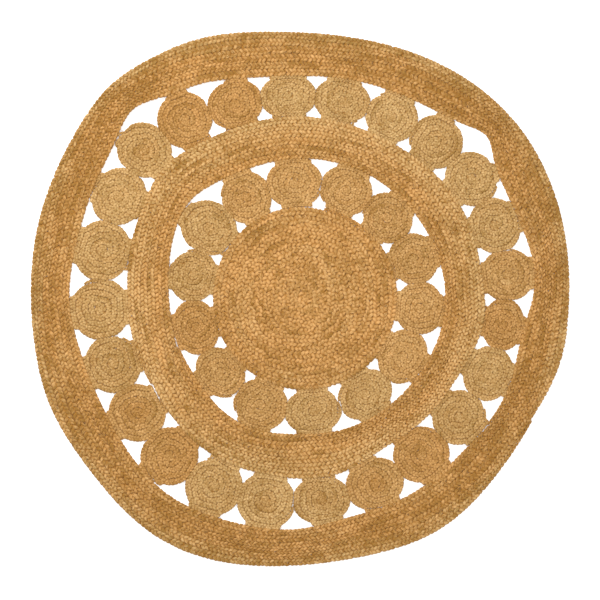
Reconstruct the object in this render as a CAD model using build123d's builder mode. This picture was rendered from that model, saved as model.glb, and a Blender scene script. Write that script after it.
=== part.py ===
# Round area rug made of plaited jute cord: a coiled centre disc, a ring of small coiled
# rosettes, a band, a second ring of rosettes and an outer band, all stitched edge to edge.
# The rug lies flat on z = 0, centred on its own outline, and every length is in millimetres.

from build123d import *
from bisect import bisect_right
from math import atan2, cos, degrees, hypot, radians, sin
import os

os.makedirs("parts", exist_ok=True)

# Driving dimensions, from the middle of the rug outwards
centre_disc_radius = 204.0
inner_ring_depth = 108.0  # room for the inner rosettes, between the disc and the middle band
middle_band_width = 88.0
outer_ring_depth = 115.0  # room for the outer rosettes, between the two bands
outer_band_width = 92.0

band_thickness = 9.0  # the disc and both bands are sewn from the same thick plait
rosette_thickness = 7.0  # the rosettes are coiled from a finer plait
band_edge_round = 3.2
rosette_edge_round = 2.4

disc_shift = (13.6, 3.8)  # the coiled disc isn't quite in the middle of the rug
coil_press = 1.06  # how much bigger a rosette is wound than the room it is pressed into
seam_gap = 0.6  # between two pieces that are stitched together
corner_round = 14.0  # where a rosette's pressed flat turns into its round side

thread_size = 1.8  # thickness of the stitching thread, which is square in this model
thread_clearance = 0.15  # round a stitch, in the slot that it lies in
stitch_length = 15.0
stitch_spacing = 6.0  # between the two stitches of one joint

# The rug is sewn by hand, so no edge is a true circle. Each list gives the angle in degrees
# from +X and how far the edge stands outside its true radius there.
middle_band_inner_wave = [
    (0, 15), (20, 13), (45, 9), (70, 6), (92, 2), (112, 2), (124, 7), (136, 16), (148, 8), (160, -6),
    (173, -18), (205, -24), (220, -22), (233, -12), (252, -6), (270, -11), (288, -6), (310, -1), (338, 8),
]
middle_band_outer_wave = [
    (0, 13), (15, 11), (30, 15), (50, 8), (75, 4), (90, 7), (120, 10), (138, 18), (150, 3), (163, -8),
    (175, -17), (200, -20), (222, -17), (236, -7), (262, -4), (284, -4), (297, -18), (320, -13),
    (335, -7), (348, 9),
]
outer_band_inner_wave = [
    (3, 11), (16, 10), (29, 7), (36, 22), (41, 40), (46, 25), (54, 5), (70, -8), (86, -15), (103, -7),
    (115, 15), (123, 27), (131, 48), (139, 27), (150, 9), (165, -3), (178, -2), (192, -12), (218, -9),
    (233, 8), (255, 3), (270, -3), (280, -14), (300, -14), (318, -16), (338, -8), (352, -10),
]
outer_band_outer_wave = [
    (0, -7), (20, 6), (37, 15), (50, 11), (66, -3), (83, -14), (97, -7), (112, 15), (121, 22), (131, 28),
    (143, 14), (160, -1), (190, -10), (205, -5), (218, -7), (239, 8), (250, 4), (264, -11), (285, -18),
    (300, -8), (318, -19), (336, -20), (350, -8),
]

# Angles, in degrees from +X, of the seams between neighbouring rosettes
inner_ring_seams = [
    7.8, 31.0, 54.5, 78.9, 105.5, 129.2, 153.9,
    180.7, 209.2, 236.6, 263.3, 291.2, 318.3, 344.2,
]
outer_ring_seams = [
    0.0, 13.4, 27.9, 42.0, 56.0, 70.1, 85.4, 100.7, 115.5, 129.4, 142.6, 157.9,
    174.3, 191.1, 207.1, 222.9, 238.0, 253.0, 268.5, 284.2, 300.4, 316.1, 331.2, 346.1,
]

# True radii of the four band edges
middle_band_inner_radius = centre_disc_radius + inner_ring_depth
middle_band_outer_radius = middle_band_inner_radius + middle_band_width
outer_band_inner_radius = middle_band_outer_radius + outer_ring_depth
outer_band_outer_radius = outer_band_inner_radius + outer_band_width


def polar(angle, radius):
    """The point at this angle in degrees and this radius from the rug's centre."""
    return (radius * cos(radians(angle)), radius * sin(radians(angle)))


def wavy_edge(radius, wave):
    """A closed smooth edge that stands off the true radius by the wave at each of its angles."""
    with BuildLine() as line:
        Spline([polar(angle, radius + off) for angle, off in wave], periodic=True)
    return line.edges()[0]


def edge_profile(edge, steps=1440):
    """Angles and radii along an edge, in order of angle, for reading its radius anywhere."""
    points = [edge.position_at(step / steps) for step in range(steps)]
    return sorted((degrees(atan2(p.Y, p.X)) % 360, hypot(p.X, p.Y)) for p in points)


def radius_at(profile, angle):
    """The radius of an edge at one angle, in line between the two nearest points of its profile."""
    angle %= 360
    after = bisect_right(profile, (angle, 0.0)) % len(profile)
    (start, low), (end, high) = profile[after - 1], profile[after]
    share = ((angle - start) % 360) / ((end - start) % 360)
    return low + (high - low) * share


def chord_radii(inner, outer, middle, half_angle, steps=12):
    """How far out a straight flat square to the middle angle clears the inner and outer edges."""
    turns = [half_angle * (2 * step / steps - 1) for step in range(steps + 1)]
    near = max(radius_at(inner, middle + turn) * cos(radians(turn)) for turn in turns)
    far = min(radius_at(outer, middle + turn) * cos(radians(turn)) for turn in turns)
    return near + seam_gap, far - seam_gap


def ring_cells(seams, inner, outer):
    """For each rosette: its middle angle, half of its angle, and its near and far flats' radii."""
    cells = []
    for start, end in zip(seams, seams[1:] + seams[:1]):
        half_angle = ((end - start) % 360) / 2
        middle = start + half_angle
        near, far = chord_radii(inner, outer, middle, half_angle / 2)
        cells.append((middle, half_angle, near, far))
    return cells


def turned_plane(angle, radius):
    """A level plane at this place in the rug, with its X axis pointing away from the centre."""
    x, y = polar(angle, radius)
    return Plane(origin=(x, y, 0), x_dir=(*polar(angle, 1.0), 0), z_dir=(0, 0, 1))


def pair_joints(seams, cells):
    """Places of the stitches that join each rosette to the one before it, square to the seam."""
    joints = []
    for number, seam in enumerate(seams):
        middles = [(near + far) / 2 for _, _, near, far in (cells[number - 1], cells[number])]
        joints.append((seam, sum(middles) / 2, 90.0))
    return joints


def flat_joints(cells, side):
    """Places of the stitches across each rosette's near (2) or far (3) flat, along the radius."""
    gap = -seam_gap / 2 if side == 2 else seam_gap / 2
    return [(cell[0], cell[side] + gap, 0.0) for cell in cells]


def stitch_plan(joints, grow=0.0):
    """Draws two bars for each joint into the sketch that is being built."""
    for angle, radius, turn in joints:
        x, y = polar(angle, radius)
        with Locations(Location((x, y, 0), (0, 0, angle + turn))):
            with GridLocations(1.0, stitch_spacing, 1, 2):
                Rectangle(stitch_length + 2 * grow, thread_size + 2 * grow)


def cut_slots(joints):
    """Cuts the slots for these joints' stitches down into the top of the piece being built."""
    with BuildSketch(Plane.XY.offset(stitch_floor - thread_clearance)) as slots:
        stitch_plan(joints, thread_clearance)
    extrude(slots.sketch, amount=2 * band_thickness, mode=Mode.SUBTRACT)


def round_rim(part, radius):
    """Rounds a flat piece's upper and lower rims."""
    levels = part.edges().group_by(Axis.Z)
    fillet(levels[0] + levels[-1], radius)


def save(part, name):
    part.label = name
    export_step(part, f"parts/{name}.step")


stitch_floor = rosette_thickness - thread_size

middle_band_inner = wavy_edge(middle_band_inner_radius, middle_band_inner_wave)
middle_band_outer = wavy_edge(middle_band_outer_radius, middle_band_outer_wave)
outer_band_inner = wavy_edge(outer_band_inner_radius, outer_band_inner_wave)
outer_band_outer = wavy_edge(outer_band_outer_radius, outer_band_outer_wave)

with BuildLine(Plane((*disc_shift, 0))) as disc_line:
    CenterArc((0, 0), centre_disc_radius, 0, 360)
disc_edge = disc_line.edges()[0]

inner_cells = ring_cells(inner_ring_seams, edge_profile(disc_edge), edge_profile(middle_band_inner))
outer_cells = ring_cells(outer_ring_seams, edge_profile(middle_band_outer), edge_profile(outer_band_inner))

inner_pair_joints = pair_joints(inner_ring_seams, inner_cells)
outer_pair_joints = pair_joints(outer_ring_seams, outer_cells)
disc_joints = flat_joints(inner_cells, 2)
middle_band_inner_joints = flat_joints(inner_cells, 3)
middle_band_outer_joints = flat_joints(outer_cells, 2)
outer_band_joints = flat_joints(outer_cells, 3)

# Centre disc: one long plait coiled flat
with BuildPart() as centre_disc:
    with BuildSketch(Plane((*disc_shift, 0))):
        Circle(centre_disc_radius)
    extrude(amount=band_thickness)
    round_rim(centre_disc, band_edge_round)
    cut_slots(disc_joints)
save(centre_disc.part, "centre_disc")


def make_band(name, inner, outer, joints):
    """A flat band of plait rows between two wavy edges."""
    with BuildPart() as band:
        with BuildSketch():
            with BuildLine():
                add(outer)
            make_face()
            with BuildLine():
                add(inner)
            make_face(mode=Mode.SUBTRACT)
        extrude(amount=band_thickness)
        round_rim(band, band_edge_round)
        cut_slots(joints)
    save(band.part, name)


middle_band_joints = middle_band_inner_joints + middle_band_outer_joints
make_band("middle_band", middle_band_inner, middle_band_outer, middle_band_joints)
make_band("outer_band", outer_band_inner, outer_band_outer, outer_band_joints)


def make_rosette(name, cell, joints):
    """A small coil, wound a little too big and pressed flat where it meets its four neighbours."""
    middle, half_angle, near, far = cell
    centre_radius = (near + far) / 2
    half_depth = (far - near) / 2
    half_width = centre_radius * sin(radians(half_angle))
    side_gap = seam_gap / 2 / cos(radians(half_angle))
    half_widths = [r * sin(radians(half_angle)) / cos(radians(half_angle)) - side_gap for r in (near, far)]
    with BuildPart() as rosette:
        with BuildSketch(turned_plane(middle, centre_radius)) as plan:
            Ellipse(half_depth * coil_press, half_width * coil_press)
            with BuildLine():
                Polyline(
                    (-half_depth, -half_widths[0]),
                    (half_depth, -half_widths[1]),
                    (half_depth, half_widths[1]),
                    (-half_depth, half_widths[0]),
                    close=True,
                )
            make_face(mode=Mode.INTERSECT)
            fillet(plan.vertices(), corner_round)
        extrude(amount=rosette_thickness)
        round_rim(rosette, rosette_edge_round)
        cut_slots(joints)
    save(rosette.part, name)


def make_ring(prefix, cells, pair_joints, near_joints, far_joints):
    for number, cell in enumerate(cells):
        following = (number + 1) % len(cells)
        joints = [pair_joints[number], pair_joints[following], near_joints[number], far_joints[number]]
        make_rosette(f"{prefix}_{number + 1:02d}", cell, joints)


make_ring("inner_rosette", inner_cells, inner_pair_joints, disc_joints, middle_band_inner_joints)
make_ring("outer_rosette", outer_cells, outer_pair_joints, middle_band_outer_joints, outer_band_joints)


def make_stitches(name, joints):
    """The thread of every joint of one kind, flush with the top of the rosettes."""
    with BuildPart() as stitches:
        with BuildSketch(Plane.XY.offset(stitch_floor)):
            stitch_plan(joints)
        extrude(amount=thread_size)
    save(stitches.part, name)


make_stitches("inner_rosette_stitches", inner_pair_joints)
make_stitches("outer_rosette_stitches", outer_pair_joints)
make_stitches("centre_disc_stitches", disc_joints)
make_stitches("middle_band_inner_stitches", middle_band_inner_joints)
make_stitches("middle_band_outer_stitches", middle_band_outer_joints)
make_stitches("outer_band_stitches", outer_band_joints)
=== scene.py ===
import bpy
import numpy as np
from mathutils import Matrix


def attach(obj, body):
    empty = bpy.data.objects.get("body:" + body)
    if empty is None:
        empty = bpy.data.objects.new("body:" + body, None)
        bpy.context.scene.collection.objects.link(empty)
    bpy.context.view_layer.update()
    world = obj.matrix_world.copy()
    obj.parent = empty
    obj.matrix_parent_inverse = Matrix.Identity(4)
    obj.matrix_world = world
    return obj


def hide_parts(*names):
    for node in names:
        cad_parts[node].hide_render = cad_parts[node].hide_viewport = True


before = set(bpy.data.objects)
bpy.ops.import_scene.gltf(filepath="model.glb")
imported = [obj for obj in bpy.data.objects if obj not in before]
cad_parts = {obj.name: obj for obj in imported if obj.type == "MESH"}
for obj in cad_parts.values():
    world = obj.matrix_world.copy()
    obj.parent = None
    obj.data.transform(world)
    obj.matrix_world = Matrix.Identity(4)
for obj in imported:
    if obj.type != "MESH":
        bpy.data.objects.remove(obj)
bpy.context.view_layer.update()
fullTurn = 2 * np.pi

# ---------- camera, lights and floor ----------

studio = {
    "viewWidth": 1.338,  # metres of floor across the picture
    "sensorWidth": 36.0,
    "viewCentre": (0.0022, -0.0011),
    "cameraHeight": 5.0,
    "floorHalf": 6.0,
    "floorShade": 0.9,
    "floorRoughness": 0.9,
    "floorGlow": 0.35,  # keeps the floor white between the rug's pieces
    "skyStrength": 0.80,
    "keyPower": 110.0,
    "keyPlace": (-1.5, 1.9, 2.7),
    "keySize": 1.5,
    "fillPower": 45.0,
    "fillPlace": (1.9, -1.6, 2.8),
    "fillSize": 2.6,
}


def makeCamera(kit):
    # straight down over the rug; the lens is the sensor's width times height over the view's width
    data = bpy.data.cameras.new("camera")
    data.sensor_width = kit["sensorWidth"]
    data.lens = data.sensor_width * kit["cameraHeight"] / kit["viewWidth"]
    data.clip_end = 20 * kit["cameraHeight"]
    camera = bpy.data.objects.new("camera", data)
    camera.location = (*kit["viewCentre"], kit["cameraHeight"])
    bpy.context.scene.collection.objects.link(camera)
    bpy.context.scene.camera = camera


def makeAreaLight(name, power, place, size):
    # a square soft box that points at the middle of the rug: it aims along minus its own place
    data = bpy.data.lights.new(name, "AREA")
    data.energy = power
    data.size = size
    light = bpy.data.objects.new(name, data)
    light.location = place
    aim = -light.location
    light.rotation_euler = aim.to_track_quat("-Z", "Y").to_euler()
    bpy.context.scene.collection.objects.link(light)


def makeStudio(kit):
    # a camera, two soft boxes, an even white sky, and a square floor that reaches floorHalf each way
    makeCamera(kit)
    makeAreaLight("key", kit["keyPower"], kit["keyPlace"], kit["keySize"])
    makeAreaLight("fill", kit["fillPower"], kit["fillPlace"], kit["fillSize"])
    world = bpy.data.worlds.new("sky")
    world.use_nodes = True
    sky = world.node_tree.nodes["Background"]
    sky.inputs["Color"].default_value = (1, 1, 1, 1)
    sky.inputs["Strength"].default_value = kit["skyStrength"]
    bpy.context.scene.world = world
    bpy.context.scene.view_settings.view_transform = "Standard"

    half = kit["floorHalf"]
    mesh = bpy.data.meshes.new("floor")
    corners = [(-half, -half, 0), (half, -half, 0), (half, half, 0), (-half, half, 0)]
    mesh.from_pydata(corners, [], [(0, 1, 2, 3)])
    floor = bpy.data.objects.new("floor", mesh)
    bpy.context.scene.collection.objects.link(floor)
    paint = bpy.data.materials.new("floorPaint")
    paint.use_nodes = True
    shader = paint.node_tree.nodes["Principled BSDF"]
    shader.inputs["Base Color"].default_value = (*[kit["floorShade"]] * 3, 1)
    shader.inputs["Roughness"].default_value = kit["floorRoughness"]
    shader.inputs["Emission Color"].default_value = (1, 1, 1, 1)
    shader.inputs["Emission Strength"].default_value = kit["floorGlow"]
    mesh.materials.append(paint)


makeStudio(studio)
print("studio set")

# ---------- jute materials ----------


def addNode(tree, kind, **settings):
    # a new node with its settings filled in
    node = tree.nodes.new(kind)
    for name, value in settings.items():
        setattr(node, name, value)
    return node


def feed(tree, slot, value):
    # an input takes a plain number, an (r, g, b) colour, or a link from another node's output
    if isinstance(value, (int, float)):
        slot.default_value = value
    elif isinstance(value, tuple):
        slot.default_value = (*value, 1)
    else:
        tree.links.new(value, slot)


def calc(tree, operation, *values):
    # one math node: the operation on one to three values
    node = addNode(tree, "ShaderNodeMath", operation=operation)
    for slot, value in zip(node.inputs, values):
        feed(tree, slot, value)
    return node.outputs[0]


def spread(tree, value, low, high, outLow=0.0, outHigh=1.0):
    # outLow + (value - low) / (high - low) * (outHigh - outLow), held at both ends
    node = addNode(tree, "ShaderNodeMapRange")
    numbers = {"Value": value, "From Min": low, "From Max": high, "To Min": outLow, "To Max": outHigh}
    for name, number in numbers.items():
        feed(tree, node.inputs[name], number)
    return node.outputs["Result"]


def blendColour(tree, factor, first, second):
    # first * (1 - factor) + second * factor; a colour mix has its factor, A and B in slots 0, 6 and 7
    node = addNode(tree, "ShaderNodeMix", data_type="RGBA")
    for slot, value in zip((0, 6, 7), (factor, first, second)):
        feed(tree, node.inputs[slot], value)
    return node.outputs[2]


def noiseAt(tree, vector, scale, detail, roughness):
    # smooth noise of 0..1 at vector * scale, with finer octaves of falling weight
    node = addNode(tree, "ShaderNodeTexNoise")
    for name, value in {"Vector": vector, "Scale": scale, "Detail": detail, "Roughness": roughness}.items():
        feed(tree, node.inputs[name], value)
    return node.outputs["Fac"]


def joinXyz(tree, x, y, z):
    # the vector (x, y, z)
    node = addNode(tree, "ShaderNodeCombineXYZ")
    for slot, value in zip(node.inputs, (x, y, z)):
        feed(tree, slot, value)
    return node.outputs[0]


def scaled(tree, value, factor):
    # value * factor
    return calc(tree, "MULTIPLY", value, factor)


def swung(tree, noise, amount):
    # a noise of 0..1 as a change of tone: (noise - 0.5) * amount
    return scaled(tree, calc(tree, "SUBTRACT", noise, 0.5), amount)


fibreNoises = {
    # change per metre along a strand, change round it, then the noise's scale, detail and roughness
    "streaks": (95.0, 2.3, 1.0, 1.5, 0.6),
    "patches": (55.0, 0.6, 1.0, 2.0, 0.55),
    "flecks": (70.0, 1.1, 1.3, 1.0, 0.5),
    # the fibres' change round the strand is the Fibres input, so theirs leaves that number out
    "fibres": (260.0, 0.5, 3.0, 0.65),
}
fibreSwings = {"patches": 1.1, "fibres": 0.9}  # how far each noise moves the shade
fleckEdge = (0.64, 0.69)  # where the noise turns into a fleck
fibreColours = {
    "straw": ((0.600, 0.398, 0.170), (0.605, 0.328, 0.113)),  # greyer and warmer
    "brown": ((0.236, 0.125, 0.021), (0.236, 0.110, 0.014)),
    "bark": (0.085, 0.038, 0.012),
    "paintedshadow": (0.320, 0.130, 0.008),  # painted shadow: the darker, warmer colour of light that has bounced between the strands
}
# the inputs end with the strength of the painted crevice shadow
fibreInputs = {"Along": 0.0, "Around": 0.0, "Tone": 0.5, "Warmth": 0.5, "Depth": 1.0, "Twist": 18.0,
               "Fibres": 26.0, "Flecks": 0.5, "Bark": 1.0, "Streaks": 2.0, "PaintedShadow": 0.75}


def strandNoise(tree, along, ring, settings):
    # noise on a strand's surface, at (along * stretch, cosine * wrap, sine * wrap)
    stretch, wrap, scale, detail, roughness = settings
    place = joinXyz(tree, scaled(tree, along, stretch), *(scaled(tree, side, wrap) for side in ring))
    return noiseAt(tree, place, scale, detail, roughness)


def makeFibreGroup(noises, colours):
    # Jute strand: Along runs down the strand in metres and Around once round it. Fibres are noise drawn
    # out along the strand and leaned by the twist, plies are three soft ridges round it, and flecks of
    # bark are the peaks of a coarser noise. The shade is the tone plus each noise's swing, and it picks
    # a colour between brown and straw, which then turns to a painted crevice shadow half way through the
    # plait.
    group = bpy.data.node_groups.new("juteFibre", "ShaderNodeTree")
    face = group.interface
    for name, value in fibreInputs.items():
        face.new_socket(name, in_out="INPUT", socket_type="NodeSocketFloat").default_value = value
    for name, kind in (("Color", "Color"), ("Roughness", "Float"), ("Height", "Float")):
        face.new_socket(name, in_out="OUTPUT", socket_type=f"NodeSocket{kind}")
    inside = addNode(group, "NodeGroupInput").outputs
    along = inside["Along"]

    leaned = calc(group, "ADD", inside["Around"], scaled(group, along, inside["Twist"]))
    turn = scaled(group, leaned, fullTurn)
    ring = (calc(group, "COSINE", turn), calc(group, "SINE", turn))
    spun = [scaled(group, side, inside["Fibres"]) for side in ring]
    stretch, *grain = noises["fibres"]
    fibres = noiseAt(group, joinXyz(group, *spun, scaled(group, along, stretch)), *grain)
    streaks, patches, flecks = (strandNoise(group, along, ring, noises[name])
                                for name in ("streaks", "patches", "flecks"))
    plies = calc(group, "MULTIPLY_ADD", calc(group, "SINE", scaled(group, turn, 3.0)), 0.5, 0.5)
    flecks = scaled(group, spread(group, flecks, *fleckEdge), inside["Flecks"])
    flecks = scaled(group, flecks, inside["Bark"])

    shade = inside["Tone"]
    swings = ((patches, fibreSwings["patches"]), (fibres, fibreSwings["fibres"]),
              (streaks, inside["Streaks"]))
    for noise, amount in swings:
        shade = calc(group, "ADD", shade, swung(group, noise, amount))
    shade = spread(group, shade, 0.0, 1.0)
    straw = blendColour(group, inside["Warmth"], *colours["straw"])
    brown = blendColour(group, inside["Warmth"], *colours["brown"])
    colour = blendColour(group, shade, brown, straw)
    colour = blendColour(group, flecks, colour, colours["bark"])
    # painted shadow: near half way through the plait, where the crevices between strands are, the colour
    # turns to a dark, warm brown
    paintedshadow = scaled(group, spread(group, inside["Depth"], 0.3, 1.0, 1.0, 0.0), inside["PaintedShadow"])
    colour = blendColour(group, paintedshadow, colour, colours["paintedshadow"])

    rough = calc(group, "MULTIPLY_ADD", fibres, 0.25, 0.62)
    height = calc(group, "ADD", scaled(group, fibres, 0.75), scaled(group, plies, 0.25))
    out = addNode(group, "NodeGroupOutput")
    for name, value in (("Color", colour), ("Roughness", rough), ("Height", height)):
        group.links.new(value, out.inputs[name])
    return group


def makeJute(name, fibreGroup, look):
    # One finish: the shared fibre group fed by the strand's own UV map and attributes. Broad patches of
    # the rug are a little lighter or darker, and warmer or greyer: attribute + (noise - 0.5) * patches.
    # Depth is 1 at the plait's two faces and 0 half way through it: |z - half| / half. It places the painted
    # crevice shadow.
    material = bpy.data.materials.new(name)
    material.use_nodes = True
    tree = material.node_tree
    shader = tree.nodes["Principled BSDF"]
    fibre = addNode(tree, "ShaderNodeGroup", node_tree=fibreGroup)
    uv = addNode(tree, "ShaderNodeUVMap", uv_map="strand")
    strand = addNode(tree, "ShaderNodeSeparateXYZ")
    tree.links.new(uv.outputs[0], strand.inputs[0])
    tree.links.new(strand.outputs[0], fibre.inputs["Along"])
    tree.links.new(strand.outputs[1], fibre.inputs["Around"])

    place = addNode(tree, "ShaderNodeTexCoord").outputs["Object"]
    broad = {"Tone": noiseAt(tree, place, 7.0, 3.0, 0.55), "Warmth": noiseAt(tree, place, 5.0, 3.0, 0.55)}
    for socket in ("Tone", "Warmth", "Bark"):
        value = addNode(tree, "ShaderNodeAttribute", attribute_name=socket.lower()).outputs["Fac"]
        if socket in broad:
            value = calc(tree, "ADD", swung(tree, broad[socket], look["patches"]), value)
        tree.links.new(value, fibre.inputs[socket])
    heights = addNode(tree, "ShaderNodeSeparateXYZ")
    tree.links.new(place, heights.inputs[0])
    half = look["thickness"] / 2
    lift = calc(tree, "ABSOLUTE", calc(tree, "SUBTRACT", heights.outputs[2], half))
    tree.links.new(calc(tree, "DIVIDE", lift, half), fibre.inputs["Depth"])
    for socket in ("Twist", "Fibres", "Flecks", "Streaks", "PaintedShadow"):
        fibre.inputs[socket].default_value = look[socket.lower()]

    bump = addNode(tree, "ShaderNodeBump")
    bump.inputs["Strength"].default_value = look["bump"]
    bump.inputs["Distance"].default_value = look["bumpDepth"]
    tree.links.new(fibre.outputs["Height"], bump.inputs["Height"])
    tree.links.new(fibre.outputs["Color"], shader.inputs["Base Color"])
    tree.links.new(fibre.outputs["Roughness"], shader.inputs["Roughness"])
    tree.links.new(bump.outputs["Normal"], shader.inputs["Normal"])
    for name, value in (("Specular IOR Level", 0.25), ("Sheen Weight", 0.12), ("Sheen Roughness", 0.5)):
        shader.inputs[name].default_value = value
    return material


thickLook = {
    "thickness": 0.0092,  # of the plait, in metres
    "twist": 18.0,  # turns of the fibres in a metre of strand
    "fibres": 26.0,
    "flecks": 0.9,
    "streaks": 2.4,
    # strength of the painted shadow in the crevices half way through the plait
    "paintedshadow": 0.70,
    "patches": 0.55,
    "bump": 0.6,
    "bumpDepth": 0.0006,
}
# both looks below give their own strength for the painted shadow in the plait's crevices
fineLook = {**thickLook, "thickness": 0.0072, "twist": 22.0, "fibres": 22.0, "flecks": 0.8, "streaks": 1.6,
            "paintedshadow": 0.50, "patches": 0.35, "bumpDepth": 0.0005}
threadLook = {**thickLook, "twist": 150.0, "fibres": 8.0, "flecks": 0.3, "streaks": 1.5, "paintedshadow": 0.75,
              "patches": 0.3, "bump": 0.8, "bumpDepth": 0.0003}

fibreGroup = makeFibreGroup(fibreNoises, fibreColours)
thickJute = makeJute("thickJute", fibreGroup, thickLook)
fineJute = makeJute("fineJute", fibreGroup, fineLook)
threadJute = makeJute("threadJute", fibreGroup, threadLook)
print("jute mixed")

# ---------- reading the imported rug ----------


def nodePoints(name):
    # all vertices of a CAD node, in metres
    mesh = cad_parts[name].data
    points = np.empty(len(mesh.vertices) * 3, np.float32)
    mesh.vertices.foreach_get("co", points)
    return points.reshape(-1, 3).astype(float)


def rimPoints(name):
    # the ring of vertices where the node's side wall starts, between 0.3 and 0.5 of its height
    points = nodePoints(name)
    share = points[:, 2] / points[:, 2].max()
    return points[(share > 0.3) & (share < 0.5), :2]


def rimMiddle(rim):
    # the middle of a rim's box
    return (rim.min(axis=0) + rim.max(axis=0)) / 2


def rimReader(points, centre):
    # Gives a rim's radius at any angle: where the ray from the centre meets the rim's straight side
    # from p to q, which is (p x q) / (ray x (q - p)).
    rel = points - centre
    angles = np.arctan2(rel[:, 1], rel[:, 0])
    order = np.argsort(angles)
    rel, angles = rel[order], angles[order]
    keep = np.r_[True, np.diff(angles) > 1e-5]
    rel, angles = rel[keep], angles[keep]
    rel = np.vstack([rel, rel[:1]])

    def radiusAt(turn):
        turn = (turn - angles[0]) % fullTurn + angles[0]
        at = np.searchsorted(angles, turn, side="right") - 1
        p, q = rel[at], rel[at + 1]
        ray = np.stack([np.cos(turn), np.sin(turn)], -1)
        side = q - p
        across = ray[..., 0] * side[..., 1] - ray[..., 1] * side[..., 0]
        return (p[..., 0] * q[..., 1] - p[..., 1] * q[..., 0]) / across

    return radiusAt


def splitRims(points, sectors=36):
    # A band's ring vertices split into inner and outer. Each is outer when its radius is above the
    # middle of the radii in its sector and half a sector beyond on both sides.
    angles = np.arctan2(points[:, 1], points[:, 0]) % fullTurn
    radii = np.hypot(points[:, 0], points[:, 1])
    outside = np.zeros(len(points), bool)
    for sector in range(sectors):
        offset = (angles - (sector + 0.5) * fullTurn / sectors + np.pi) % fullTurn - np.pi
        near = np.abs(offset) < fullTurn / sectors
        middle = (radii[near].min() + radii[near].max()) / 2
        own = np.abs(offset) <= fullTurn / sectors / 2
        outside[own] = radii[own] > middle
    return points[~outside], points[outside]


# ---------- plait surfaces ----------


def smoothStep(x):
    # 0 below 0, 1 above 1, and 3 x squared less 2 x cubed between them
    x = np.clip(x, 0, 1)
    return x * x * (3 - 2 * x)


def waver(rng, length, waves=7):
    # A smooth random curve of about -1..1: the sum of a few sines of random phase, the longest about
    # length long and each next one shorter and weaker.
    phases = rng.uniform(0, fullTurn, waves)
    rates = fullTurn / length * rng.uniform(0.7, 1.3, waves) * np.arange(1, waves + 1) ** 0.9
    sizes = 1 / np.arange(1, waves + 1) ** 0.5
    return lambda x: np.sin(np.multiply.outer(x, rates) + phases) @ sizes / sizes.sum() * 1.6


def makeSway(rows, size, seed, waves=14):
    # How far neighbouring rows lean aside together, in rows: a sum of waves round the turn whose
    # phases slide from row to row, fading to nothing at the rims.
    rng = np.random.default_rng(seed)
    turns = rng.integers(3, 26, waves)
    phases = rng.uniform(0, fullTurn, waves)
    slants = rng.uniform(-1.1, 1.1, waves)
    weights = size * 1.4 / np.sqrt(turns) / np.linalg.norm(1 / np.sqrt(turns))

    def sway(row, angle):
        field = sum(w * np.sin(angle * n + p + row * q) for w, n, p, q in zip(weights, turns, phases, slants))
        return field * smoothStep(row / 2) * smoothStep((rows - row) / 2)

    return sway


def bandPlace(name, kit, seed):
    # Turns (row, angle) into a point: rows share the band evenly between its two rims at every angle,
    # so the radius is inner + (outer - inner) * row / rows.
    inner, outer = (rimReader(rim, np.zeros(2)) for rim in splitRims(rimPoints(name)))
    sway = makeSway(kit["rows"], kit["sway"], seed)

    def place(row, angle):
        low, high = inner(angle) - kit["press"], outer(angle) + kit["press"]
        radius = low + (high - low) * (row + sway(row, angle)) / kit["rows"]
        return np.stack([radius * np.cos(angle), radius * np.sin(angle)], -1)

    return place


def leanOut(rimAt, centre, neighbours, limit):
    # Lets a coil's rim bulge across small gaps until it meets its neighbours' rims: the radius grows by
    # the gap to a neighbour, along the ray, where that is below the limit. Each neighbour is its rim,
    # its centre and its side: 1 when it lies round the coil's ring and -1 when within it.
    turns = np.linspace(0, fullTurn, 721)
    radius = rimAt(turns)
    ray = np.stack([np.cos(turns), np.sin(turns)], -1)
    for otherRim, otherCentre, side in neighbours:
        rel = centre + radius[:, None] * ray - otherCentre
        away = np.hypot(*rel.T)
        facing = side * (rel * ray).sum(axis=1) / away
        gap = side * (otherRim(np.arctan2(rel[:, 1], rel[:, 0])) - away) / np.maximum(facing, 0.3)
        near = smoothStep((limit - gap) / (0.4 * limit)) * smoothStep((facing - 0.4) / 0.3)
        radius = radius + np.maximum(gap, 0) * near
    return lambda angle: np.interp(angle % fullTurn, turns, radius)


def coilPlace(name, kit, seed, neighbours=()):
    # Turns (row, angle) into a point: the outer rows follow the pressed rim and the inner ones turn
    # circular, so the radius is share * (mean + (rim - mean) * share to the 1.5).
    rim = rimPoints(name)
    centre = rimMiddle(rim)
    rimAt = leanOut(rimReader(rim, centre), centre, neighbours, kit["lean"])
    mean = rimAt(np.linspace(0, fullTurn, 181)[:-1]).mean()
    sway = makeSway(kit["rows"], kit["sway"], seed)

    def place(row, angle):
        share = np.maximum((row + sway(row, angle)) / kit["rows"], 0)
        radius = share * (mean + (rimAt(angle) + kit["press"] - mean) * share ** 1.5)
        return centre + np.stack([radius * np.cos(angle), radius * np.sin(angle)], -1)

    return place


def rowRoute(rows, turns, shift):
    # The plait's row for a count of turns: it keeps to one row for most of a turn, and moves out to
    # the next row over the last part of it. Its first and last ends taper into the room left there.
    whole = np.floor(turns)
    step = smoothStep((turns - whole - (1 - shift)) / shift)
    low = np.maximum(whole + step, 0)
    high = np.minimum(whole + step + 1, rows)
    return (low + high) / 2, high - low


def routeAt(kit, turns):
    # row, width share and angle of the plait after a count of turns
    rows, widths = rowRoute(kit["rows"], turns, kit["shiftTurn"])
    return rows, widths, kit["startAngle"] + kit["winding"] * fullTurn * turns


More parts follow.
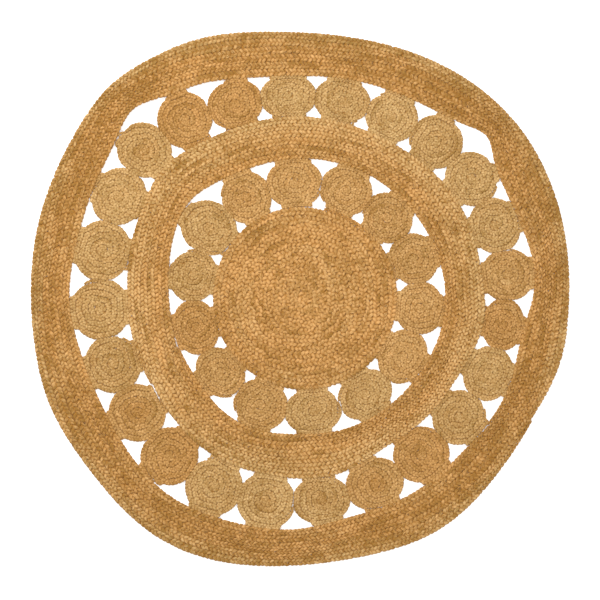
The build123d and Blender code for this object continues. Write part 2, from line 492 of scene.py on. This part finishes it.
def evenSteps(place, kit, turns, edge, step):
    # Walks the spiral at even steps, along the line that lies edge widths out from the plait's middle.
    # Returns each step's row, width share, angle and length so far.
    rows, widths, angles = routeAt(kit, turns)
    points = place(rows + edge * widths, angles)
    lengths = np.r_[0, np.cumsum(np.hypot(*np.diff(points, axis=0).T))]
    along = np.arange(0, lengths[-1], step)
    return (*routeAt(kit, np.interp(along, lengths, turns)), along)


def layPlait(place, kit):
    # the whole plait's middle line, from its first tapered end to its last
    shift = kit["shiftTurn"]
    turns = np.linspace(-0.62 * shift, kit["rows"] - 0.38 * shift, kit["rows"] * kit["samplesPerTurn"])
    return evenSteps(place, kit, turns, 0, kit["period"] / kit["stepsPerPeriod"])


def levelFrame(line):
    # at each point of a line, a side axis that is level and an up axis, both square to the line
    tangent = np.gradient(line, axis=0)
    tangent /= np.linalg.norm(tangent, axis=1)[:, None]
    side = np.cross(tangent, (0, 0, 1.0))
    side /= np.linalg.norm(side, axis=1)[:, None]
    return side[:, None], np.cross(side, tangent)[:, None]


def strandLine(place, kit, laid, number, rng):
    # One strand's centre line. Across the plait it follows the sine of the phase, and up and down the
    # sine of twice the phase, so it passes over and under the other two, a third of a period away. The
    # up and down wave is b / sqrt(0.72 + 0.28 b squared), which holds it a little longer at its heights.
    rows, widths, angles, along = laid
    phase = fullTurn * (along / kit["period"] + number / 3)
    phase = phase + waver(rng, 0.12)(along) * kit["phaseWander"]
    phase = phase + waver(rng, 0.04)(along) * kit["phaseJitter"]
    across = kit["reach"] * widths * np.sin(phase)
    flat = place(np.maximum(rows + across, 0.02), angles)
    room = np.hypot(*(place(rows + widths / 2, angles) - place(rows - widths / 2, angles)).T)
    plump = kit["endPlump"] + (1 - kit["endPlump"]) * widths
    rise = kit["thickness"] / 2 - kit["strandHeight"] / 2
    bob = np.sin(2 * phase - kit["lag"])
    bob = bob / np.sqrt(0.72 + 0.28 * bob ** 2)
    height = kit["thickness"] / 2 + rise * plump * bob
    return np.column_stack([flat, height]), room, plump, phase, across


def strandTube(kit, line, room, plump, phase, rng):
    # Carries a flattened ring along the centre line: width * cosine to the side and height * sine up,
    # squared off a little. A strand that is fatter than usual is as much flatter.
    side, up = levelFrame(line)
    along = np.arange(len(line)) * kit["period"] / kit["stepsPerPeriod"]
    fat = 1 + kit["fatWander"] * waver(rng, 0.03)(along)
    width = kit["strandShare"] * room / 2 * fat * (1 + 0.06 * np.abs(np.sin(2 * phase)))
    width = np.minimum(width, kit["strandWidest"] / 2)
    tall = kit["strandHeight"] / 2 * plump * (2 - fat)
    turn = np.arange(kit["sides"]) * fullTurn / kit["sides"]
    level, rise = np.cos(turn), np.sin(turn)
    power = kit["squareness"]
    squash = (np.abs(level) ** power + np.abs(rise) ** power) ** (-1 / power)
    level, rise = level * squash, rise * squash
    return line[:, None] + (width[:, None] * level)[..., None] * side + (tall[:, None] * rise)[..., None] * up


def lacingTube(place, kit, rng):
    # The thread between rows: it follows each row's inner edge near half way up the plait, and swings
    # from one row into the other with the sine of its beat, a quarter turn at each step.
    turns = np.linspace(1, kit["rows"] - 0.6 * kit["shiftTurn"], kit["rows"] * kit["lacingSamplesPerTurn"])
    rows, widths, angles, along = evenSteps(place, kit, turns, -0.5, kit["lacingStep"])
    beat = np.arange(len(along)) * np.pi / 2 + 0.3 * waver(rng, 0.05)(along)
    flat = place(rows - widths / 2 + 0.05 * np.sin(beat), angles)
    line = np.column_stack([flat, kit["thickness"] * (0.46 + 0.05 * np.cos(beat))])
    side, up = levelFrame(line)
    turn = (np.arange(kit["lacingSides"]) * fullTurn / kit["lacingSides"])[None, :, None]
    ring = kit["lacingFlatness"] * np.cos(turn) * side + np.sin(turn) * up
    return line[:, None] + kit["lacing"] / 2 * ring


def tubeMesh(rings, uvStart, step):
    # Quads between neighbouring rings and a fan at each end. A corner's UV is its length along the tube
    # and its share of the way round.
    count, sides = rings.shape[:2]
    ends = rings[[0, -1]].mean(axis=1)
    vertices = np.vstack([rings.reshape(-1, 3), ends])
    i, k = np.meshgrid(np.arange(count - 1), np.arange(sides), indexing="ij")
    i, k = i.ravel(), k.ravel()
    following = (k + 1) % sides
    here, ahead = i * sides, (i + 1) * sides
    quads = np.stack([here + k, here + following, ahead + following, ahead + k], -1)
    u0, u1, v0, v1 = uvStart + i * step, uvStart + (i + 1) * step, k / sides, (k + 1) / sides
    quadUv = np.stack([np.stack(corner, -1) for corner in ((u0, v0), (u0, v1), (u1, v1), (u1, v0))], 1)
    k = np.arange(sides)
    following = (k + 1) % sides
    last = (count - 1) * sides
    first = np.stack([following, k, np.full(sides, count * sides)], -1)
    final = np.stack([last + k, last + following, np.full(sides, count * sides + 1)], -1)
    uvEnds = np.repeat([uvStart, uvStart + (count - 1) * step], sides)
    triUv = np.stack([np.stack([uvEnds, np.tile(k / sides, 2)], -1)] * 3, 1)
    return vertices, quads, quadUv, np.vstack([first, final]), triUv


def buildObject(name, tubes, material, tones, warmths, barks):
    # Joins tubes into one object: each tube's corner numbers go up by the vertices before it. Each
    # vertex carries its tone, warmth and share of bark flecks.
    offsets = np.cumsum([0] + [len(tube[0]) for tube in tubes])
    vertices = np.vstack([tube[0] for tube in tubes])
    quads = np.vstack([tube[1] + start for tube, start in zip(tubes, offsets)])
    triangles = np.vstack([tube[3] + start for tube, start in zip(tubes, offsets)])
    quadUv = np.vstack([tube[2] for tube in tubes]).reshape(-1, 2)
    triUv = np.vstack([tube[4] for tube in tubes]).reshape(-1, 2)
    corners = np.concatenate([quads.ravel(), triangles.ravel()]).astype(np.int32)
    faceCount = len(quads) + len(triangles)
    sizes = np.r_[np.full(len(quads), 4), np.full(len(triangles), 3)]
    starts = np.r_[0, np.cumsum(sizes)[:-1]].astype(np.int32)
    mesh = bpy.data.meshes.new(name)
    mesh.vertices.add(len(vertices))
    mesh.vertices.foreach_set("co", vertices.astype(np.float32).ravel())
    mesh.loops.add(len(corners))
    mesh.loops.foreach_set("vertex_index", corners)
    mesh.polygons.add(faceCount)
    mesh.polygons.foreach_set("loop_start", starts)
    mesh.update(calc_edges=True)
    uv = mesh.uv_layers.new(name="strand")
    uv.data.foreach_set("uv", np.vstack([quadUv, triUv]).astype(np.float32).ravel())
    for label, values in (("tone", tones), ("warmth", warmths), ("bark", barks)):
        layer = mesh.attributes.new(label, "FLOAT", "POINT")
        layer.data.foreach_set("value", np.maximum(np.concatenate(values), 0).astype(np.float32))
    mesh.polygons.foreach_set("use_smooth", np.ones(faceCount, bool))
    mesh.materials.append(material)
    mesh.validate()
    piece = bpy.data.objects.new(name, mesh)
    bpy.context.scene.collection.objects.link(piece)
    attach(piece, "root")
    return piece


def perVertex(values, sides):
    # step values for a tube's ring vertices and its two end points
    return np.r_[np.repeat(values, sides), values[[0, -1]]]


def plaitPieces(node, place, kit, material, shadeOf, seed, separate):
    # Three strands plaited along the whole spiral of one node, as three pieces or joined in one. The
    # thread between the rows goes with the first strand.
    rng = np.random.default_rng(seed)
    laid = layPlait(place, kit)
    step = kit["period"] / kit["stepsPerPeriod"] * kit["uvStretch"]
    strands = []
    for number in range(3):
        line, room, plump, phase, across = strandLine(place, kit, laid, number, rng)
        rings = strandTube(kit, line, room, plump, phase, rng)
        mesh = tubeMesh(rings, rng.uniform(0, 40), step)
        shades = [perVertex(values, kit["sides"]) for values in shadeOf(laid, across, rng, seed)]
        strands.append((mesh, *shades))
    lacing = tubeMesh(lacingTube(place, kit, rng), 0.0, kit["lacingStep"])
    thread = (lacing, *(np.full(len(lacing[0]), value) for value in lacingShade))
    first, second, third = strands
    groups = [[first, thread], [second], [third]] if separate else [[first, thread, second, third]]
    for letter, group in zip("abc", groups):
        name = f"{node}_strand_{letter}" if separate else f"{node}_plait"
        meshes, tones, warmths, barks = zip(*group)
        piece = buildObject(name, meshes, material, tones, warmths, barks)
        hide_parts(node)


thickPlait = {
    "period": 0.0282,  # one strand's way out and back across the plait
    "thickness": 0.0092,
    "strandHeight": 0.0048,
    "strandShare": 0.46,  # of the room a row has
    "strandWidest": 0.0084,
    "reach": 0.355,
    "lag": 0.3,  # keeps a strand up until it is nearly at the plait's edge
    "stepsPerPeriod": 12,
    "samplesPerTurn": 900,  # of the spiral, before it is cut into even steps
    "sides": 8,
    "squareness": 2.5,  # of a strand's section: 2 is an oval
    "endPlump": 0.45,  # share of its height that a strand keeps where the plait tapers to nothing
    "lacing": 0.0022,  # thread that sews neighbouring rows together
    "lacingStep": 0.0048,
    "lacingSamplesPerTurn": 700,
    "lacingSides": 5,
    "lacingFlatness": 2.2,
    "sway": 0.12,
    "press": 0.0008,  # how far an edge bulges out against the piece sewn beside it
    "lean": 0.012,  # the widest gap that a rosette's edge closes
    "phaseWander": 0.5,
    "phaseJitter": 0.20,
    "fatWander": 0.10,
    "uvStretch": 1.2,  # length of strand for each metre along the plait
    "winding": 1,
}
finePlait = {**thickPlait, "period": 0.0216, "thickness": 0.0072, "strandHeight": 0.0036,
             "strandWidest": 0.0068, "sides": 7, "reach": 0.295, "phaseJitter": 0.10, "strandShare": 0.50,
             "lacing": 0.0016}
lacingShade = (0.35, 0.7, 0.0)  # tone, warmth and bark

discKit = {**thickPlait, "rows": 12, "shiftTurn": 0.35, "startAngle": 2.2}
middleKit = {**thickPlait, "rows": 6, "shiftTurn": 0.10, "startAngle": 3.9}
outerKit = {**thickPlait, "rows": 6, "shiftTurn": 0.07, "startAngle": 5.97}
rosetteKit = {**finePlait, "rows": 5, "shiftTurn": 0.35}


def paintedEdgeShadow(rng, along, across):
    # Painted shadow: here and there a plait's outer edge is darkened as if it had sunk into shade
    # between the rows, strong near the edge, where the wave along the plait is above a third.
    darkening = np.clip(waver(rng, 0.45)(along) - 0.33, 0, 0.5)
    return darkening * smoothStep((across - 0.08) / 0.2)


def shadeRows(toneStops, warmthStops, barkStops, swing):
    # A plait's shade by row, with slow changes along its length and quick ones from bump to bump.
    # The stops are evenly spaced from the first row to the last.
    def shadeOf(laid, across, rng, seed):
        rows, along = laid[0], laid[3]
        share = rows / rows.max()
        shared = np.random.default_rng(seed)
        common = 0.7 * waver(shared, 0.6)(along) + 0.6 * waver(shared, 0.14)(along)
        tone, warmth, bark = (np.interp(share, np.linspace(0, 1, len(stops)), stops)
                              for stops in (toneStops, warmthStops, barkStops))
        tone = tone + swing * (common + 0.5 * waver(rng, 0.4)(along)) + 0.15 * waver(rng, 0.02)(along)
        # painted shadow along the row's outer edge, standing in for an edge that has sunk
        tone = tone - 1.4 * paintedEdgeShadow(shared, along, across)
        warmth = warmth + swing * (waver(shared, 0.8)(along) + 0.6 * waver(rng, 0.5)(along))
        return tone, warmth, bark + 0.6 * waver(shared, 0.3)(along)

    return shadeOf


discShade = shadeRows([0.58, 0.60, 0.62, 0.60, 0.54], [0.95, 0.95, 0.90, 0.95, 0.85],
                      [0.3, 0.1, 0.2, 0.3, 0.9], 0.26)
middleShade = shadeRows([0.48, 0.50, 0.55, 0.62, 0.66, 0.64], [0.9, 0.95, 0.75, 0.6, 0.4, 0.25],
                        [1.2, 1.1, 0.5, 0.4, 0.1, 0.1], 0.26)
outerShade = shadeRows([0.50, 0.38, 0.36, 0.36, 0.38, 0.35], [0.80, 1.0, 1.0, 0.9, 0.55, 0.1],
                       [0.3, 0.9, 1.1, 0.9, 0.5, 0.6], 0.30)

thickPieces = (
    ("centre_disc", coilPlace, discKit, discShade, 41, 11),
    ("middle_band", bandPlace, middleKit, middleShade, 42, 12),
    ("outer_band", bandPlace, outerKit, outerShade, 43, 13),
)
for node, placeOf, kit, shade, swaySeed, seed in thickPieces:
    plaitPieces(node, placeOf(node, kit, swaySeed), kit, thickJute, shade, seed, True)
print("disc and bands plaited")

# ---------- rosettes ----------


rosetteShades = {
    "pale": (0.60, 0.05),
    "straw": (0.54, 0.15),
    "olive": (0.47, 0.20),
    "gold": (0.58, 0.60),
    "tan": (0.50, 0.60),
    "russet": (0.46, 0.90),
}
innerShades = ["tan", "tan", "gold", "gold", "gold", "straw", "olive", "russet", "tan", "tan", "straw",
               "straw", "gold", "gold"]
outerShades = ["tan", "straw", "pale", "straw", "pale", "straw", "straw", "russet", "russet", "straw",
               "straw", "straw", "straw", "olive", "tan", "russet", "straw", "pale", "straw", "tan",
               "russet", "olive", "straw", "russet"]
# rosettes whose middle is darker (or, when above 0, lighter) than the rest
innerHearts = {5: -0.08, 10: 0.06}
outerHearts = {7: 0.08, 10: -0.14, 15: -0.24, 18: -0.14, 19: -0.1, 20: -0.16, 21: -0.06, 24: -0.1}


def rosetteShade(name, heart):
    # a rosette's own shade, changing towards its middle by the heart's amount
    def shadeOf(laid, across, rng, seed):
        rows, along = laid[0], laid[3]
        shared = np.random.default_rng(seed)
        tone, warmth = rosetteShades[name]
        middle = smoothStep(1.3 - rows / 2.6)
        tone = tone + heart * middle + 0.14 * waver(shared, 0.25)(along) + 0.12 * waver(rng, 0.016)(along)
        # painted shadow along the row's outer edge, standing in for an edge that has sunk
        tone = tone - 0.8 * paintedEdgeShadow(shared, along, across)
        warmth = warmth - 2.0 * heart * middle + 0.15 * waver(shared, 0.4)(along)
        return tone, warmth, 0.2 + 0.6 * waver(shared, 0.2)(along)

    return shadeOf


def plaitRosettes(prefix, shades, hearts, neighbours, seed):
    # one ring of rosettes, each with its own start angle, seed and shade
    rng = np.random.default_rng(seed)
    for number, shade in enumerate(shades, 1):
        node = f"{prefix}_{number:02d}"
        kit = {**rosetteKit, "startAngle": rng.uniform(0, fullTurn)}
        place = coilPlace(node, kit, seed * 50 + number, neighbours)
        shadeOf = rosetteShade(shade, hearts.get(number, 0.0))
        plaitPieces(node, place, kit, fineJute, shadeOf, seed * 100 + number, False)


discRim = rimPoints("centre_disc")
discCentre = rimMiddle(discRim)
middle = np.zeros(2)
middleInner, middleOuter = (rimReader(rim, middle) for rim in splitRims(rimPoints("middle_band")))
outerInner = rimReader(splitRims(rimPoints("outer_band"))[0], middle)
besideInner = ((rimReader(discRim, discCentre), discCentre, -1), (middleInner, middle, 1))
besideOuter = ((middleOuter, middle, -1), (outerInner, middle, 1))
plaitRosettes("inner_rosette", innerShades, innerHearts, besideInner, 21)
plaitRosettes("outer_rosette", outerShades, outerHearts, besideOuter, 22)
print("rosettes plaited")

# ---------- stitches ----------

stitchKit = {
    "thread": 0.0011,
    "steps": 14,
    "sides": 5,
    "length": 0.0125,
    "low": 0.0012,  # height of the loop's underside
    "sink": 0.0008,  # dip of its top at the seam
    "skew": 0.25,  # greatest turn away from the bar
    "lengths": (0.85, 1.1),
    "squareness": 3,
    "tones": (0.3, 0.6),
    "warmths": (0.3, 0.7),
    "uvStep": 0.003,
}


def loopMesh(rings, uvStart, step):
    # quads all the way round a closed loop of rings
    count, sides = rings.shape[:2]
    i, k = np.meshgrid(np.arange(count), np.arange(sides), indexing="ij")
    i, k = i.ravel(), k.ravel()
    j, m = (i + 1) % count, (k + 1) % sides
    quads = np.stack([i * sides + k, j * sides + k, j * sides + m, i * sides + m], -1)
    u0, u1, v0, v1 = uvStart + i * step, uvStart + (i + 1) * step, k / sides, (k + 1) / sides
    quadUv = np.stack([np.stack(corner, -1) for corner in ((u0, v0), (u1, v0), (u1, v1), (u0, v1))], 1)
    return rings.reshape(-1, 3), quads, quadUv, np.empty((0, 3), int), np.empty((0, 3, 2))


def stitchLoops(node, innerTop, outerTop, seed):
    # One closed loop of thread round each bar of the node: over both plaits and back underneath. The
    # loop is a rounded oval in the upright plane along the bar, dipped in the middle where the seam is.
    rng = np.random.default_rng(seed)
    kit = stitchKit
    corners = nodePoints(node).reshape(-1, 24, 3)
    tubes, tones, warmths = [], [], []
    for box in corners:
        middle = box.mean(axis=0)
        level = (box - middle)[:, :2]
        longest = np.linalg.eigh(level.T @ level)[1][:, 1]
        along = longest * (1 if longest @ middle[:2] >= 0 else -1)
        turn = rng.uniform(-kit["skew"], kit["skew"])
        along = np.array([along[0] * np.cos(turn) - along[1] * np.sin(turn),
                          along[0] * np.sin(turn) + along[1] * np.cos(turn)])
        angle = np.arange(kit["steps"]) * fullTurn / kit["steps"]
        power = kit["squareness"]
        squash = (np.abs(np.cos(angle)) ** power + np.abs(np.sin(angle)) ** power) ** (-1 / power)
        reach = kit["length"] / 2 * rng.uniform(*kit["lengths"])
        out, rise = np.cos(angle) * squash, np.sin(angle) * squash
        top = innerTop + (outerTop - innerTop) * (out + 1) / 2
        dip = kit["sink"] * np.cos(out * np.pi / 2) ** 2
        height = np.where(rise > 0, kit["low"] + (top - dip - kit["low"]) * (0.5 + rise / 2),
                          kit["low"] + (top - kit["low"]) * (0.5 + rise / 2))
        line = np.column_stack([middle[:2] + np.outer(out * reach, along), height])
        tangent = np.roll(line, -1, 0) - np.roll(line, 1, 0)
        tangent /= np.linalg.norm(tangent, axis=1)[:, None]
        side = np.tile([-along[1], along[0], 0.0], (kit["steps"], 1))
        up = np.cross(side, tangent)
        ring = (np.arange(kit["sides"]) * fullTurn / kit["sides"])[None, :, None]
        ring = np.cos(ring) * side[:, None] + np.sin(ring) * up[:, None]
        points = line[:, None] + kit["thread"] / 2 * ring
        tubes.append(loopMesh(points, rng.uniform(0, 20), kit["uvStep"]))
        size = points.shape[0] * points.shape[1]
        tones.append(np.full(size, rng.uniform(*kit["tones"])))
        warmths.append(np.full(size, rng.uniform(*kit["warmths"])))
    piece = buildObject(f"{node}_thread", tubes, threadJute, tones, warmths, np.zeros_like(tones))
    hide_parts(node)


rosetteTop, bandTop = finePlait["thickness"] + 0.0002, thickPlait["thickness"]
seams = (
    ("inner_rosette_stitches", rosetteTop, rosetteTop),
    ("outer_rosette_stitches", rosetteTop, rosetteTop),
    ("centre_disc_stitches", bandTop, rosetteTop),
    ("middle_band_inner_stitches", rosetteTop, bandTop),
    ("middle_band_outer_stitches", bandTop, rosetteTop),
    ("outer_band_stitches", rosetteTop, bandTop),
)
for seed, (node, innerTop, outerTop) in enumerate(seams, 31):
    stitchLoops(node, innerTop, outerTop, seed)
print("stitches sewn")
